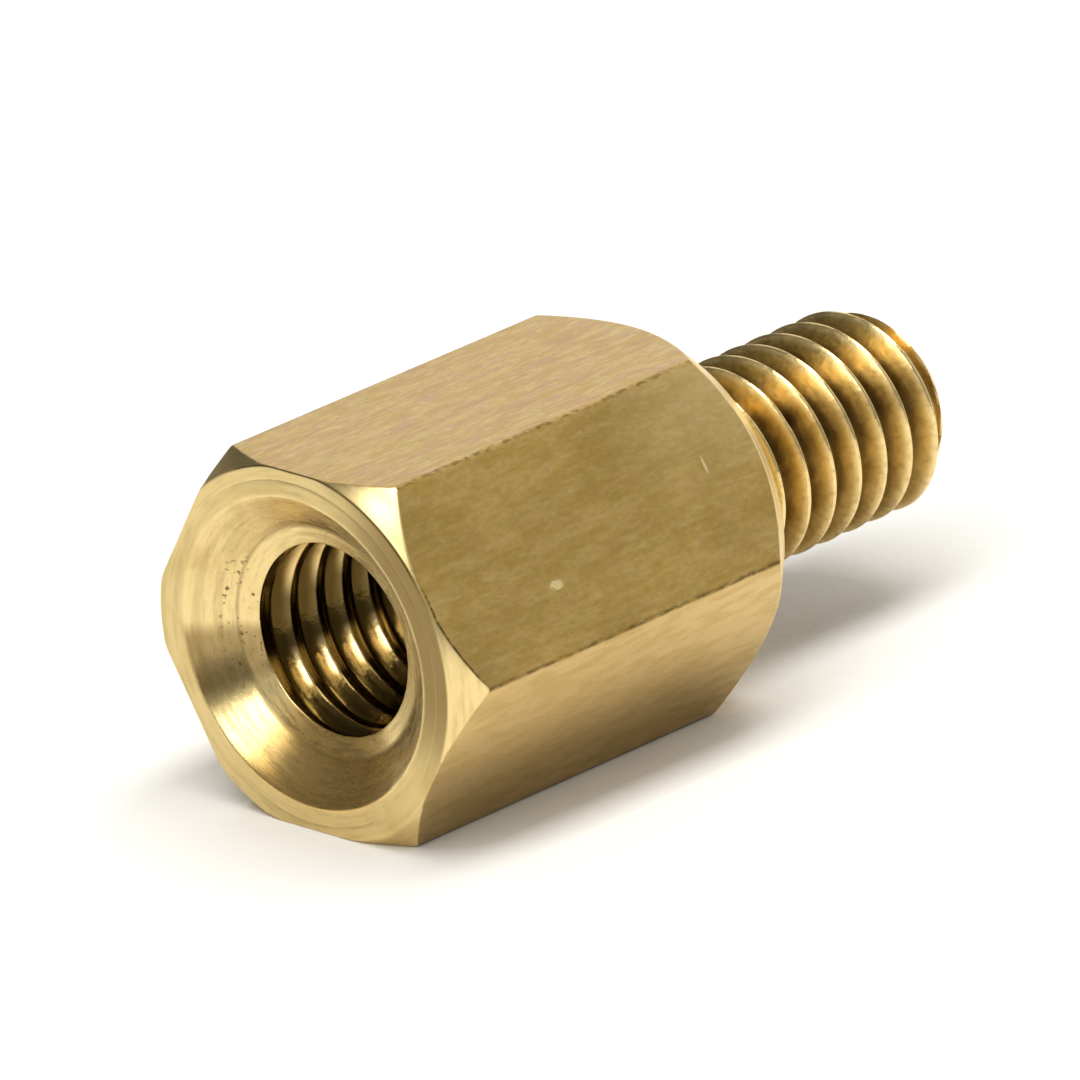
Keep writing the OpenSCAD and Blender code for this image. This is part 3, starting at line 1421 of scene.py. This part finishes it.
def add_camera(scene, studio):
    """The camera, at its distance from the target and turned about its line of sight."""
    a, e = studio.azimuth, studio.elevation
    back = Vector((math.sin(a) * math.cos(e), -math.cos(a) * math.cos(e), math.sin(e)))
    lens = bpy.data.cameras.new("camera")
    lens.lens = studio.lens
    lens.sensor_width = 36
    lens.clip_start, lens.clip_end = 0.01, 10
    camera = bpy.data.objects.new("camera", lens)
    camera.rotation_mode = "QUATERNION"
    camera.location = Vector(studio.target) + back * studio.distance
    turn = Quaternion((0, 0, 1), studio.roll)
    camera.rotation_quaternion = (-back).to_track_quat("-Z", "Y") @ turn
    scene.collection.objects.link(camera)
    scene.camera = camera
    scene.view_settings.view_transform = "Standard"


# ----------------------------------------------------------------- operators


class STANDOFF_OT_part(bpy.types.Operator):
    """Builds the standoff as one closed piece of brass in place of the plain solid"""

    bl_idname = "standoff.part"
    bl_label = "Standoff"

    def execute(self, context):
        scene = context.scene
        finish = scene.standoff_finish
        body = in_mm(scene.standoff_body)
        hole = in_mm(scene.standoff_hole)
        stud = in_mm(scene.standoff_stud)
        mesh = standoff_mesh(body, hole, stud, in_mm(scene.standoff_mesh))
        # In the order of the slots: turned, drawn and threaded
        mesh.materials.append(turned_brass(body, hole, finish))
        mesh.materials.append(drawn_brass(body, finish))
        mesh.materials.append(cut_thread_brass(body, stud, finish))
        piece = bpy.data.objects.new("standoff_brass", mesh)
        scene.collection.objects.link(piece)
        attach(piece, "root")
        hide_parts(NODE)
        return {"FINISHED"}


class STANDOFF_OT_stage(bpy.types.Operator):
    """Sets up the floor, the soft lights and the camera"""

    bl_idname = "standoff.stage"
    bl_label = "Stage"

    def execute(self, context):
        scene = context.scene
        studio = scene.standoff_studio
        add_floor(scene, studio)
        softboxes = (
            ("overhead_softbox", (-0.11, -0.115, 0.9), (1.18, 0.31), studio.overhead_power),
            ("left_softbox", (-0.83, -0.19, 0.51), (0.24, 0.42), studio.left_power),
            ("front_softbox", (0.1, -0.75, 0.8), (0.9, 0.5), studio.front_power),
            ("back_softbox", (0.22, 0.75, 0.95), (0.85, 0.6), studio.back_power),
        )
        for name, location, size, power in softboxes:
            add_softbox(scene, name, location, size, power)
        add_room(scene, studio)
        add_camera(scene, studio)
        return {"FINISHED"}


class STANDOFF_PT_panel(bpy.types.Panel):
    """Lists the operators and their settings in the 3D view's sidebar"""

    bl_label = "Standoff"
    bl_space_type = "VIEW_3D"
    bl_region_type = "UI"
    bl_category = "Standoff"

    def draw(self, context):
        layout = self.layout
        for operator in OPERATORS:
            layout.operator(operator.bl_idname)
        for name, group in GROUPS.items():
            box = layout.box()
            for setting in group.__annotations__:
                box.prop(getattr(context.scene, name), setting)


OPERATORS = (STANDOFF_OT_part, STANDOFF_OT_stage)
CLASSES = (*GROUPS.values(), *OPERATORS, STANDOFF_PT_panel)


def register():
    """Registers the classes and puts the settings on the scene."""
    for cls in CLASSES:
        bpy.utils.register_class(cls)
    for name, group in GROUPS.items():
        setattr(bpy.types.Scene, name, PointerProperty(type=group))


def unregister():
    """Takes the settings and the classes away again."""
    for name in GROUPS:
        delattr(bpy.types.Scene, name)
    for cls in reversed(CLASSES):
        bpy.utils.unregister_class(cls)


def main():
    register()
    bpy.ops.standoff.part()
    bpy.ops.standoff.stage()


if __name__ == "__main__":
    main()
